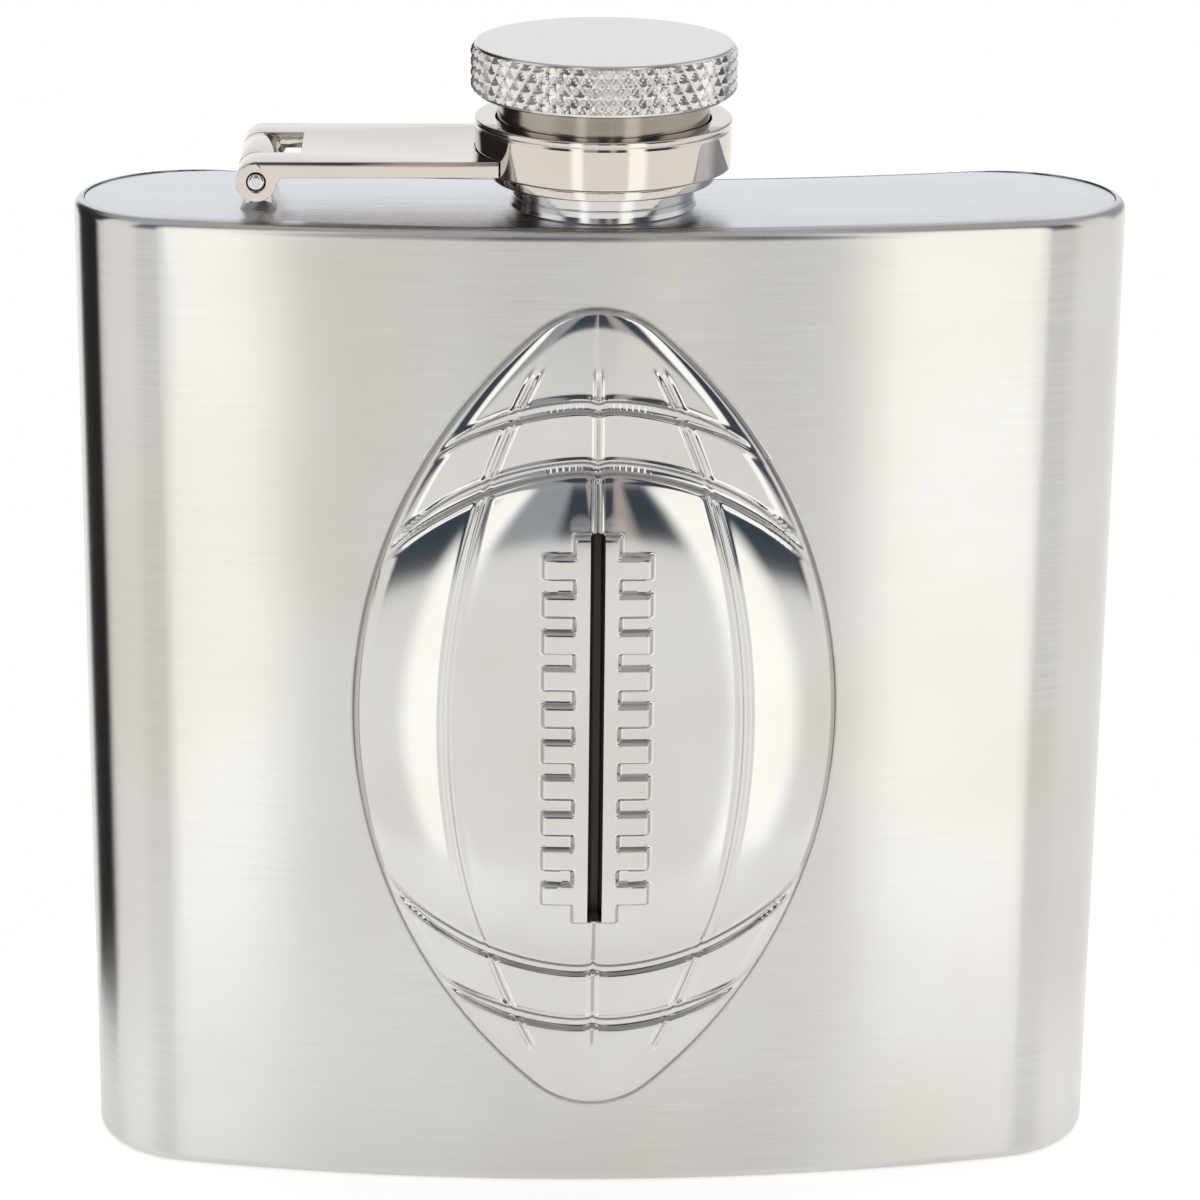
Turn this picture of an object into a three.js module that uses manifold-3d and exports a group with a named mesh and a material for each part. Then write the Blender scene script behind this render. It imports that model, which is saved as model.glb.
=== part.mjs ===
// Stainless hip flask with a pressed football on its front and a captive screw cap on a hinged arm.
// Millimetres, +Z up. It stands on z = 0, its convex front faces -Y, and the spout's axis is x = y = 0.
import * as THREE from 'three';
import { mergeVertices } from 'three/addons/utils/BufferGeometryUtils.js';
import Module from 'manifold-3d';

const wasm = await Module();
wasm.setup();

// ---------- driving dimensions ----------
const BODY_WIDTH = 95;
const BODY_HEIGHT = 91.5;
const BODY_THICKNESS = 21; // outside, front wall to back wall
const BEND_RADIUS = 173; // of the surface midway between the walls
const WALL = 0.6;
const RIM = 0.9; // radius of the rounded top and bottom edges, and depth of the lip behind them
const LIP_HEIGHT = 1;
const PLATE = 0.8;
const PLATE_GAP = 0.15; // between an end plate and the lip round it
const FIT = 0.15; // clearance of parts that are fixed in one another
const SEAT = 0.02; // clearance of faces that rest on one another

const BALL_HALF_HEIGHT = 38.3;
const BALL_HALF_WIDTH = 21.9;
const BALL_TIP_RADIUS = 8;
const BALL_RISE = 4.3; // of the pressed dome above the front wall
const BALL_X = -0.6;
const BALL_Z = 46.4;
const STRIPE_RISE = 0.25;
const STRIPE_RADIUS = 25;
const STRIPES = [{ z: 29.7, width: 1.7 }, { z: 24.15, width: 1.4 }]; // heights above the ball's middle
const LACE_RISE = 0.4;
const LACE_SLOT = 1.06; // width of the slot between the two laces' spines
const LACE_SPINE = 2; // half width over both spines
const LACE_REACH = 4.7; // half width over the teeth
const LACE_BOTTOM = 28;
const LACE_TOP = 64.9;
const LACE_TEETH = 10;
const LACE_PITCH = 3.46;
const LACE_TOOTH = 2.05;

// Heights of the closure are counted from the top plate's upper face.
const TOP = BODY_HEIGHT;
const NECK_BORE = 6.2; // radii from here on
const NECK_SPIGOT = 7.05;
const NECK_COLLAR = 8.2;
const NECK_COLLAR_HEIGHT = 3.2;
const NECK_HEIGHT = 10.2;
const NECK_ROOT = 7.15;
const NECK_CREST = 7.7;
const NECK_CHAMFER = 0.3;
const THREAD_PITCH = 1.8;
const THREAD_TURNS = 3;
const NECK_THREAD_Z = 4.6; // middle of the lowest turn

const INSERT_BOTTOM = 2.55;
const INSERT_TOP = 11.5;
const INSERT_FLANGE = 10;
const INSERT_FLANGE_TOP = 3.5;
const INSERT_SHANK = 9.45;
const INSERT_ROOT = 8.8;
const INSERT_CREST = 8.45;

const WASHER_RADIUS = 8.55;
const WASHER_BOTTOM = 10.5;
const WASHER_TOP = 11.5;

const HEAD_RADIUS = 11.85;
const HEAD_CORE = 11.45; // radius behind the knurl and of the groove below it
const HEAD_BOTTOM = 10.1;
const HEAD_TOP = 14.8;
const HEAD_RECESS_TOP = 11.7;
const HEAD_LIP = 0.4; // height of the plain lip below the knurl
const KNURL_DEPTH = 0.3;
const KNURL_TEETH = 48;
const KNURL_BOTTOM = 10.6;
const KNURL_TOP = 14.45;

const RING_INNER = 9.6;
const RING_OUTER = 11.47;
const RING_BOTTOM = 3.8;
const RING_TOP = 8.15;
const RING_EDGE = 0.35; // chamfer of the ring's upper edges

const PIN_X = -30.6;
const PIN_Z = TOP + 3.55;
const PIN_RADIUS = 0.72;
const PIN_HOLE = 0.85;
const PIN_PROUD = 0.2;
const KNUCKLE_RADIUS = 1.8;
const ARM_WIDTH = 16;
const ARM_Y = 1.3; // middle of the arm's width
const ARM_THICKNESS = 1.45;
const ARM_NOTCH_WIDTH = 8.2;
const ARM_NOTCH_REACH = 3.8; // from the pin to the notch's closed end
const POST_WIDTH = 7.8;
const POST_WEB = 1.5; // half thickness of the post's web

const ROUND = 40; // sides of a large turned part
const ROUND_SMALL = 20; // sides of the pin and the knuckles

// ---------- geometry helpers ----------

// A closed triangle mesh as a solid that can be joined and cut.
function solid(geometry) {
  const bare = geometry.clone();
  bare.deleteAttribute('normal');
  bare.deleteAttribute('uv');
  const merged = mergeVertices(bare, 1e-4);
  return new wasm.Manifold(new wasm.Mesh({
    numProp: 3,
    vertProperties: new Float32Array(merged.attributes.position.array),
    triVerts: new Uint32Array(merged.index.array),
  }));
}

// The mesh of a joined or cut solid.
function surface(manifold) {
  const data = manifold.getMesh();
  const geometry = new THREE.BufferGeometry();
  geometry.setAttribute('position', new THREE.BufferAttribute(data.vertProperties, 3));
  geometry.setIndex(new THREE.BufferAttribute(data.triVerts, 1));
  geometry.computeVertexNormals();
  return geometry;
}

// Points along an arc, without its last point.
function arc(cx, cy, radius, from, to, steps) {
  const points = [];
  for (let i = 0; i < steps; i += 1) {
    const angle = from + ((to - from) * i) / steps;
    points.push(new THREE.Vector2(cx + radius * Math.cos(angle), cy + radius * Math.sin(angle)));
  }
  return points;
}

// A turned part: the profile is [radius, height] pairs, counter-clockwise, in a ring or from axis to axis.
function turned(profile, sides = ROUND) {
  const points = profile.map(([r, z]) => new THREE.Vector2(r, z));
  if (profile[0][0] > 0) points.push(points[0].clone());
  return new THREE.LatheGeometry(points, sides).rotateX(Math.PI / 2);
}

// A flat outline in X and Y, raised from one height to another.
function raised(outline, bottom, top) {
  const shape = new THREE.Shape(outline);
  const geometry = new THREE.ExtrudeGeometry(shape, { depth: top - bottom, bevelEnabled: false });
  return geometry.translate(0, 0, bottom);
}

// An outline in X and Z, extended along Y from front to back.
function across(outline, front, back) {
  const shape = new THREE.Shape(outline);
  const geometry = new THREE.ExtrudeGeometry(shape, { depth: back - front, bevelEnabled: false });
  return geometry.rotateX(Math.PI / 2).translate(0, back, 0);
}

function box(x0, x1, y0, y1, z0, z1) {
  const geometry = new THREE.BoxGeometry(x1 - x0, y1 - y0, z1 - z0);
  return geometry.translate((x0 + x1) / 2, (y0 + y1) / 2, (z0 + z1) / 2);
}

// A round bar along Y.
function bar(x, z, radius, front, back) {
  return across(arc(x, z, radius, 0, 2 * Math.PI, ROUND_SMALL), front, back);
}

// ---------- the bent body ----------
const END_RADIUS = BODY_THICKNESS / 2;
const END_X = BODY_WIDTH / 2 - END_RADIUS;
const HALF_SWEEP = Math.asin(END_X / BEND_RADIUS);
const END_Y = BEND_RADIUS * (1 - Math.cos(HALF_SWEEP));

// The body's plan: two long arcs about one centre behind the flask, and two round ends.
function plan(inset) {
  const down = -Math.PI / 2;
  const right = down + HALF_SWEEP;
  const left = down - HALF_SWEEP;
  const end = END_RADIUS - inset;
  return [
    ...arc(0, BEND_RADIUS, BEND_RADIUS + end, left, right, 14),
    ...arc(END_X, END_Y, end, right, right + Math.PI, 12),
    ...arc(0, BEND_RADIUS, BEND_RADIUS - end, right, left, 10),
    ...arc(-END_X, END_Y, end, left + Math.PI, left + 2 * Math.PI, 12),
  ];
}

// How far the front wall lies towards -Y at a given x.
function frontY(x) {
  return BEND_RADIUS - Math.sqrt((BEND_RADIUS + END_RADIUS) ** 2 - x * x);
}

function roundedBody() {
  const geometry = new THREE.ExtrudeGeometry(new THREE.Shape(plan(0)), {
    depth: BODY_HEIGHT - 2 * RIM,
    bevelThickness: RIM,
    bevelSize: RIM,
    bevelOffset: -RIM,
    bevelSegments: 4,
  });
  return geometry.translate(0, 0, RIM);
}

// ---------- the pressed football ----------

// Half width of a pointed oval with blunt tips: a long arc, and a small one at each tip.
function ballHalfWidth(z, inset) {
  const height = BALL_HALF_HEIGHT - inset;
  const width = BALL_HALF_WIDTH - inset;
  const tip = BALL_TIP_RADIUS - inset;
  const tipZ = height - tip;
  const side = (tipZ ** 2 / (width - tip) + width + tip) / 2;
  const joinZ = (side * tipZ) / (side - tip);
  if (Math.abs(z) < joinZ) return Math.sqrt(side ** 2 - z * z) - (side - width);
  return Math.sqrt(Math.max(0, tip ** 2 - (Math.abs(z) - tipZ) ** 2));
}

// The football, flattened to the dome's rise and bent to follow the front wall.
function ball(inset, rise) {
  const rows = 22;
  const profile = [];
  for (let i = 0; i <= rows; i += 1) {
    const z = -(BALL_HALF_HEIGHT - inset) * Math.cos((Math.PI * i) / rows);
    profile.push([i % rows ? ballHalfWidth(z, inset) : 0, z]);
  }
  const geometry = turned(profile, 28);
  geometry.scale(1, rise / (BALL_HALF_WIDTH - inset), 1);
  const position = geometry.attributes.position;
  for (let i = 0; i < position.count; i += 1) {
    position.setY(i, position.getY(i) + frontY(position.getX(i) + BALL_X));
  }
  return geometry.translate(BALL_X, 0, BALL_Z);
}

// A curved band right across the ball, bulging towards its upper or lower tip.
function stripe({ z, width }, side) {
  const reach = Math.PI / 4;
  const centre = BALL_Z + side * (z - STRIPE_RADIUS);
  const middle = (side * Math.PI) / 2;
  const from = middle - reach;
  const to = middle + reach;
  return [
    ...arc(BALL_X, centre, STRIPE_RADIUS + width / 2, from, to, 12),
    ...arc(BALL_X, centre, STRIPE_RADIUS - width / 2, to, from, 12),
  ];
}

// One lace: a straight spine beside the slot, with teeth on its outer side.
function lace(side) {
  const slot = LACE_SLOT / 2;
  const points = [[slot, LACE_BOTTOM], [LACE_SPINE, LACE_BOTTOM]];
  const first = (LACE_BOTTOM + LACE_TOP - LACE_PITCH * (LACE_TEETH - 1) - LACE_TOOTH) / 2;
  for (let i = 0; i < LACE_TEETH; i += 1) {
    const bottom = first + i * LACE_PITCH;
    const top = bottom + LACE_TOOTH;
    points.push([LACE_SPINE, bottom], [LACE_REACH, bottom], [LACE_REACH, top], [LACE_SPINE, top]);
  }
  points.push([LACE_SPINE, LACE_TOP], [slot, LACE_TOP]);
  return points.map(([x, z]) => new THREE.Vector2(BALL_X + side * x, z));
}

function bodySleeve() {
  const front = frontY(0) - 2 * BALL_RISE;
  const cut = (outline, rise) => solid(across(outline, front, frontY(0))).intersect(solid(ball(0, rise)));
  let outside = solid(roundedBody()).add(solid(ball(0, BALL_RISE)));
  for (const side of [1, -1]) {
    outside = outside.add(cut(lace(side), BALL_RISE + LACE_RISE));
    for (const band of STRIPES) outside = outside.add(cut(stripe(band, side), BALL_RISE + STRIPE_RISE));
  }
  const hollow = solid(raised(plan(WALL), LIP_HEIGHT, BODY_HEIGHT - LIP_HEIGHT));
  const mouths = solid(raised(plan(RIM), -1, BODY_HEIGHT + 1));
  return surface(outside.subtract(hollow).subtract(mouths).subtract(solid(ball(WALL, BALL_RISE - WALL))));
}

function endPlate(bottom, holeRadius) {
  const shape = new THREE.Shape(plan(RIM + PLATE_GAP));
  if (holeRadius) shape.holes.push(new THREE.Path(arc(0, 0, holeRadius, 0, 2 * Math.PI, ROUND)));
  const geometry = new THREE.ExtrudeGeometry(shape, { depth: PLATE, bevelEnabled: false });
  return geometry.translate(0, 0, bottom);
}

// ---------- spout and cap ----------

// Ring-shaped thread turns, as [radius, height] pairs from the lowest turn to the highest.
function threadTurns(root, crest, lowest) {
  const flank = THREAD_PITCH * 0.3;
  const land = THREAD_PITCH * 0.08;
  const points = [];
  for (let i = 0; i < THREAD_TURNS; i += 1) {
    const z = TOP + lowest + i * THREAD_PITCH;
    points.push([root, z - flank], [crest, z - land], [crest, z + land], [root, z + flank]);
  }
  return points;
}

function neckSpout() {
  const collarTop = TOP + NECK_COLLAR_HEIGHT;
  const top = TOP + NECK_HEIGHT;
  return turned([
    [NECK_BORE, TOP - PLATE - NECK_CHAMFER],
    [NECK_SPIGOT, TOP - PLATE - NECK_CHAMFER],
    [NECK_SPIGOT, TOP + SEAT],
    [NECK_COLLAR, TOP + SEAT],
    [NECK_COLLAR, collarTop - NECK_CHAMFER],
    [NECK_COLLAR - NECK_CHAMFER, collarTop],
    [NECK_ROOT, collarTop],
    ...threadTurns(NECK_ROOT, NECK_CREST, NECK_THREAD_Z),
    [NECK_ROOT, top - NECK_CHAMFER],
    [NECK_ROOT - NECK_CHAMFER, top],
    [NECK_BORE + NECK_CHAMFER, top],
    [NECK_BORE, top - NECK_CHAMFER],
  ]);
}

function threadedInsert() {
  const inside = threadTurns(INSERT_ROOT, INSERT_CREST, NECK_THREAD_Z + THREAD_PITCH / 2).reverse();
  return turned([
    [INSERT_ROOT, TOP + INSERT_BOTTOM],
    [INSERT_FLANGE, TOP + INSERT_BOTTOM],
    [INSERT_FLANGE, TOP + INSERT_FLANGE_TOP],
    [INSERT_SHANK, TOP + INSERT_FLANGE_TOP],
    [INSERT_SHANK, TOP + INSERT_TOP],
    [INSERT_ROOT, TOP + INSERT_TOP],
    ...inside,
  ]);
}

function sealingWasher() {
  return turned([
    [0, TOP + WASHER_BOTTOM],
    [WASHER_RADIUS, TOP + WASHER_BOTTOM],
    [WASHER_RADIUS, TOP + WASHER_TOP],
    [0, TOP + WASHER_TOP],
  ]);
}

// The head's knurled band, as a plan with one tooth after another.
function knurlPlan() {
  const points = [];
  for (let i = 0; i < 2 * KNURL_TEETH; i += 1) {
    const radius = i % 2 ? HEAD_RADIUS - KNURL_DEPTH : HEAD_RADIUS;
    const angle = (Math.PI * i) / KNURL_TEETH;
    points.push(new THREE.Vector2(radius * Math.cos(angle), radius * Math.sin(angle)));
  }
  return points;
}

function capHead() {
  const bottom = TOP + HEAD_BOTTOM;
  const lipTop = bottom + HEAD_LIP;
  const top = TOP + HEAD_TOP;
  const recess = INSERT_SHANK + FIT;
  const recessTop = TOP + HEAD_RECESS_TOP;
  const disc = solid(turned([
    [0, bottom],
    [HEAD_RADIUS, bottom],
    [HEAD_RADIUS, lipTop],
    [HEAD_CORE, lipTop],
    [HEAD_CORE, top],
    [0, top],
  ]));
  const band = solid(raised(knurlPlan(), TOP + KNURL_BOTTOM, TOP + KNURL_TOP));
  const seat = solid(turned([[0, bottom - 1], [recess, bottom - 1], [recess, recessTop], [0, recessTop]]));
  return surface(disc.add(band).subtract(seat));
}

// ---------- the hinged arm ----------
const ARM_FRONT = ARM_Y - ARM_WIDTH / 2;
const ARM_BACK = ARM_Y + ARM_WIDTH / 2;
const NOTCH_FRONT = ARM_Y - ARM_NOTCH_WIDTH / 2;
const NOTCH_BACK = ARM_Y + ARM_NOTCH_WIDTH / 2;

function collarRing() {
  return turned([
    [RING_INNER, TOP + RING_BOTTOM],
    [RING_OUTER, TOP + RING_BOTTOM],
    [RING_OUTER, TOP + RING_TOP - RING_EDGE],
    [RING_OUTER - RING_EDGE, TOP + RING_TOP],
    [RING_INNER + RING_EDGE, TOP + RING_TOP],
    [RING_INNER, TOP + RING_TOP - RING_EDGE],
  ]);
}

function hingeArm() {
  const top = PIN_Z + KNUCKLE_RADIUS;
  const bottom = top - ARM_THICKNESS;
  const plate = solid(box(PIN_X, 0, ARM_FRONT, ARM_BACK, bottom, top));
  const knuckles = solid(bar(PIN_X, PIN_Z, KNUCKLE_RADIUS, ARM_FRONT, ARM_BACK));
  const notch = solid(box(
    PIN_X - 2 * KNUCKLE_RADIUS,
    PIN_X + ARM_NOTCH_REACH,
    NOTCH_FRONT,
    NOTCH_BACK,
    PIN_Z - 2 * KNUCKLE_RADIUS,
    top + 1,
  ));
  const hole = solid(bar(PIN_X, PIN_Z, PIN_HOLE, ARM_FRONT - 1, ARM_BACK + 1));
  const collar = RING_OUTER + FIT;
  const seat = solid(turned([[0, bottom - 1], [collar, bottom - 1], [collar, top + 1], [0, top + 1]]));
  return surface(plate.add(knuckles).subtract(notch).subtract(hole).subtract(seat));
}

function hingePin() {
  return bar(PIN_X, PIN_Z, PIN_RADIUS, ARM_FRONT - PIN_PROUD, ARM_BACK + PIN_PROUD);
}

function hingePost() {
  const front = ARM_Y - POST_WIDTH / 2;
  const back = ARM_Y + POST_WIDTH / 2;
  const knuckle = solid(bar(PIN_X, PIN_Z, KNUCKLE_RADIUS, front, back));
  const web = solid(box(PIN_X - POST_WEB, PIN_X + POST_WEB, front, back, TOP + SEAT, PIN_Z));
  const hole = solid(bar(PIN_X, PIN_Z, PIN_HOLE, front - 1, back + 1));
  return surface(knuckle.add(web).subtract(hole));
}

// ---------- materials and assembly ----------
const satinSteel = { color: 0xcfccc7, roughness: 0.32, metalness: 1 };
const plateSteel = { color: 0xd2d5d9, roughness: 0.3, metalness: 1 };
const polishedNickel = { color: 0xdcd4cf, roughness: 0.12, metalness: 1 };
const turnedSteel = { color: 0xd8d6d2, roughness: 0.25, metalness: 1 };
const silicone = { color: 0xe6e4de, roughness: 0.6, metalness: 0 };

const flask = new THREE.Group();

function piece(parent, name, geometry, finish) {
  const mesh = new THREE.Mesh(geometry, new THREE.MeshStandardMaterial(finish));
  mesh.name = name;
  parent.add(mesh);
}

const body = new THREE.Group();
piece(body, 'body_sleeve', bodySleeve(), satinSteel);
piece(body, 'bottom_plate', endPlate(0), plateSteel);
piece(body, 'top_plate', endPlate(TOP - PLATE, NECK_SPIGOT + FIT), plateSteel);
piece(body, 'neck_spout', neckSpout(), turnedSteel);
piece(body, 'hinge_post', hingePost(), polishedNickel);

const arm = new THREE.Group();
piece(arm, 'hinge_arm', hingeArm(), polishedNickel);
piece(arm, 'hinge_pin', hingePin(), turnedSteel);
piece(arm, 'collar_ring', collarRing(), polishedNickel);

const cap = new THREE.Group();
piece(cap, 'cap_head', capHead(), polishedNickel);
piece(cap, 'threaded_insert', threadedInsert(), turnedSteel);
piece(cap, 'sealing_washer', sealingWasher(), silicone);

arm.add(cap);
flask.add(body, arm);

export default flask;
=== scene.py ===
"""A steel hip flask with a pressed football and a captive screw cap, built round its CAD frame.

Metres in Blender, +Z up. The shape functions work in millimetres, and add_piece() turns them into metres.
The flask stands on z = 0, its convex front faces -Y, and the spout's axis is x = y = 0.
"""
import math

import bmesh
import bpy
import numpy as np
from mathutils import Matrix, Vector


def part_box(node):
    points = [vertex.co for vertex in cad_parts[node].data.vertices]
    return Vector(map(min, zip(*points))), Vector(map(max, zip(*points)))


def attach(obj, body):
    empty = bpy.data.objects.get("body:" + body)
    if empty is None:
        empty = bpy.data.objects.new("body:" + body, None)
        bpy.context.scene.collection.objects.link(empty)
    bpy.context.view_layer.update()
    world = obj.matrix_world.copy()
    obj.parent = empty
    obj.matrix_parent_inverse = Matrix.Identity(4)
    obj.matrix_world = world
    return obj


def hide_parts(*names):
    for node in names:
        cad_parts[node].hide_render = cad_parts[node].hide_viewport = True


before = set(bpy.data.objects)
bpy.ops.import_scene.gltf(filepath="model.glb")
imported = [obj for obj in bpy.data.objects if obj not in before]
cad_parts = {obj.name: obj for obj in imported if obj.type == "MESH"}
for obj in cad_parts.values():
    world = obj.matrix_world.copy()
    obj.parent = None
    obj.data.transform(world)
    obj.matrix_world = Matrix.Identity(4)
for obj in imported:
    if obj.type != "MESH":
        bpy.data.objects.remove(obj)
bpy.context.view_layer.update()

MM = 0.001


def node_box(name):
    """A CAD node's lowest and highest corner, in millimetres."""
    low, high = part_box(name)
    return np.array(low) / MM, np.array(high) / MM


# ---------- driving dimensions, in millimetres ----------
SLEEVE_HIGH = node_box("body_sleeve")[1]
THICKNESS = 21.0
END = THICKNESS / 2  # radius of the body's round ends
TOP = SLEEVE_HIGH[2]
END_X = SLEEVE_HIGH[0] - END
END_Y = SLEEVE_HIGH[1] - END
BEND = (END_X ** 2 + END_Y ** 2) / (2 * END_Y)  # radius of the surface midway between the walls
FRONT_REACH = (BEND + END) * END_X / BEND  # x at which the front wall meets the round end
RIM = 0.9  # rounding of the sleeve's rims
WALL = 0.6
LIP = 1.0  # height of the rim inside the body
JOINT = 0.07  # visible gap between an end plate and the rim
PLATE = 0.8
PLATE_EDGE = 0.12  # rounding of an end plate's edge
CROWN = 0.3  # of the top plate, at the spout

# The pressed football, with heights counted from its middle
BALL_X = -0.6
BALL_Z = 46.4
BALL_HALF_HEIGHT = 38.3
BALL_HALF_WIDTH = 21.9
BALL_TIP = 8.0  # radius of the outline's two tips
BALL_DOME = 0.15  # slight bulge of the whole ball
FLANK_HEIGHT = 1.15  # of the rounded step round the ball
FLANK_WIDTH = 1.8
FLANK_FOOT = 0.45  # over which the step's foot is softened

PANEL_PUFF = 2.25  # bulge of the middle panel, over its inner stripes
PANEL_LENGTH = 3.4  # over which the middle panel rises from its stripes
BAND_STEP = 0.5  # of the panel past an inner stripe, where the two meet
BAND_LENGTH = 1.1  # over which that step falls away
BAND_PUFF = 0.1  # bulge of the panel between two stripes
BAND_EDGE = 0.4  # over which that bulge rises
SIDE_FALL, OUTLINE_FALL = 0.45, 0.13  # share of a panel's height lost towards the sides and close to them
TIP_SLOPE = 0.085  # of the panel past the outer stripe

STRIPES = (24.15, 29.7)  # heights above the ball's middle
STRIPE_BEND = 25.0  # radius of the stripes' curve
STRIPE_CHANNEL, STRIPE_DEPTH = 0.5, 0.3  # half width and depth of a stripe's channel
STRIPE_LIP, LIP_HEIGHT, LIP_WIDTH = 0.72, 0.12, 0.2  # of the lip beside it, from the stripe's middle line
STRIPE_TAPER = 4.5  # distance from the outline at which a stripe has its full width
CUSP_HEIGHT, CUSP_WIDTH = 0.35, 0.6  # of the stripes' point at the ball's middle line
RIB_PITCH, RIB_HEIGHT, RIB_REACH = 0.55, 0.035, 0.35  # of the cross ribs; they reach so far up the channel
RIB_START, RIB_END = 1.5, 5  # distances from the middle line between which the ribs show
EDGE_CLEAR = 0.6  # distance from the outline at which stripes and seams start

SEAM_MIDDLE = 13.2  # from the middle line to a long seam, where it is farthest
SEAM_BEND = 72.0  # radius of its curve
SEAM_END = 33.2  # height at which the seams end, past the outer stripes
SEAM_GAP = 0.7  # width of the break where a stripe crosses a seam

SLOT_HALF = 0.48
SLOT_LOW, SLOT_HIGH = -18.5, 18.7
SLOT_DEPTH = 2.4
SLOT_EDGE, SLOT_END = 0.22, 0.4  # widths over which its sides and its ends slope
LACE_RISE = 0.62
LACE_SPINE = 2.0  # from the middle line to a spine's outer edge
LACE_REACH = 4.7  # from the middle line to the teeth's ends
LACE_LOW, LACE_HIGH = -18.4, 18.5
LACE_TEETH = 10
LACE_PITCH = 3.46
LACE_TOOTH = 2.05
LACE_ROUND = 0.42  # width over which their edges slope
LOBE_X, LOBE_Z, LOBE_RADIUS, LOBE_EDGE = 1.5, 19.45, 1.1, 0.4  # the two spots that polishing missed
POLISH_EDGE = 0.5  # over which the polish starts inside the outline

SPOUT_LOW, SPOUT_HIGH = node_box("neck_spout")
INSERT_LOW, INSERT_HIGH = node_box("threaded_insert")
WASHER_LOW, WASHER_HIGH = node_box("sealing_washer")
RING_LOW, RING_HIGH = node_box("collar_ring")
HEAD_LOW, HEAD_HIGH = node_box("cap_head")
ARM_LOW, ARM_HIGH = node_box("hinge_arm")
PIN_LOW, PIN_HIGH = node_box("hinge_pin")
POST_LOW, POST_HIGH = node_box("hinge_post")
PIN_HOLE = 0.85  # radius
PIN_X = (PIN_LOW[0] + PIN_HIGH[0]) / 2
PIN_Z = (PIN_LOW[2] + PIN_HIGH[2]) / 2
KNUCKLE = POST_HIGH[2] - PIN_Z  # radius


# ---------- mesh helpers ----------
def add_piece(name, vertices, faces, body, node, material, crease=35):
    """A new mesh in millimetres that rides on a body and stands for a CAD node."""
    mesh = bpy.data.meshes.new(name)
    mesh.from_pydata((np.asarray(vertices) * MM).tolist(), [], faces)
    return finish_piece(name, mesh, body, node, material, crease)


def finish_piece(name, mesh, body, node, material, crease):
    """A new piece from a mesh in metres; edges sharper than crease, in degrees, stay sharp."""
    face_out(mesh)
    mesh.shade_smooth()
    mesh.set_sharp_from_angle(angle=math.radians(crease))
    mesh.materials.clear()
    mesh.materials.append(material)
    piece = bpy.data.objects.new(name, mesh)
    bpy.context.collection.objects.link(piece)
    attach(piece, body)
    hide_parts(node)
    return piece


def face_out(mesh):
    """Turns a closed mesh's faces outwards."""
    work = bmesh.new()
    work.from_mesh(mesh)
    if work.calc_volume(signed=True) < 0:
        bmesh.ops.reverse_faces(work, faces=work.faces)
    work.to_mesh(mesh)
    work.free()


def ring_faces(rows, columns, closed):
    """Quads of a grid whose columns go all the way round; closed joins the last row to the first."""
    faces = []
    for i in range(rows if closed else rows - 1):
        here, above = i * columns, ((i + 1) % rows) * columns
        for j in range(columns):
            k = (j + 1) % columns
            faces.append((here + j, here + k, above + k, above + j))
    return faces


def turned(profile, columns, radius=None):
    """A turned part. The profile is (radius, height) pairs, in a ring, or from axis to axis.

    radius(angle, radii, heights) may reshape it, as a thread or a knurl does.
    """
    profile = np.array(profile, float)
    solid = profile[0, 0] == 0
    ring = profile[1:-1] if solid else profile
    angles = np.linspace(0, 2 * math.pi, columns, endpoint=False)
    heights = np.repeat(ring[:, 1:], columns, axis=1)
    radii = np.repeat(ring[:, :1], columns, axis=1)
    if radius:
        radii = radius(angles[None, :], radii, heights)
    points = np.stack([radii * np.cos(angles), radii * np.sin(angles), heights], axis=-1).reshape(-1, 3)
    faces = ring_faces(len(ring), columns, not solid)
    if solid:
        last = (len(ring) - 1) * columns
        points = np.vstack([points, [0, 0, profile[0, 1]], [0, 0, profile[-1, 1]]])
        faces += [((j + 1) % columns, j, len(points) - 2) for j in range(columns)]
        faces += [(last + j, last + (j + 1) % columns, len(points) - 1) for j in range(columns)]
    return points, faces


CORNER_STEPS = 5


def rounded(corners):
    """A profile with its corners rounded: (radius, height, rounding) for each corner, in a ring."""
    points = []
    for i, (x, z, r) in enumerate(corners):
        here = np.array([x, z], float)
        if r == 0:
            points.append(here)
            continue
        before = np.array(corners[i - 1][:2], float) - here
        after = np.array(corners[(i + 1) % len(corners)][:2], float) - here
        before /= np.linalg.norm(before)
        after /= np.linalg.norm(after)
        half = math.acos(np.clip(before @ after, -1, 1)) / 2
        reach = r / math.tan(half)
        centre = here + (before + after) / np.linalg.norm(before + after) * r / math.sin(half)
        start, end = here + before * reach - centre, here + after * reach - centre
        turn = math.atan2(start[0] * end[1] - start[1] * end[0], start @ end)
        for k in range(CORNER_STEPS + 1):
            c, s = math.cos(turn * k / CORNER_STEPS), math.sin(turn * k / CORNER_STEPS)
            points.append(centre + [c * start[0] - s * start[1], s * start[0] + c * start[1]])
    return [tuple(p) for p in points]


def spaced(*runs):
    """Numbers from run to run, each (from, to, step), without repeats."""
    parts = []
    for low, high, step in runs:
        parts.append(np.linspace(low, high, max(2, round(abs(high - low) / step) + 1))[:-1])
    return np.concatenate(parts + [[runs[-1][1]]])


def smooth(t):
    """0 up to 0, 1 from 1, and an even S-curve between."""
    t = np.clip(t, 0, 1)
    return t * t * (3 - 2 * t)


def bell(t, width):
    """1 where t is 0, fading over the width on both sides."""
    return np.exp(-((t / width) ** 2))


def eased(value, start, end):
    """0 up to start, 1 from end, and an even S-curve between."""
    return smooth((value - start) / (end - start))


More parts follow.
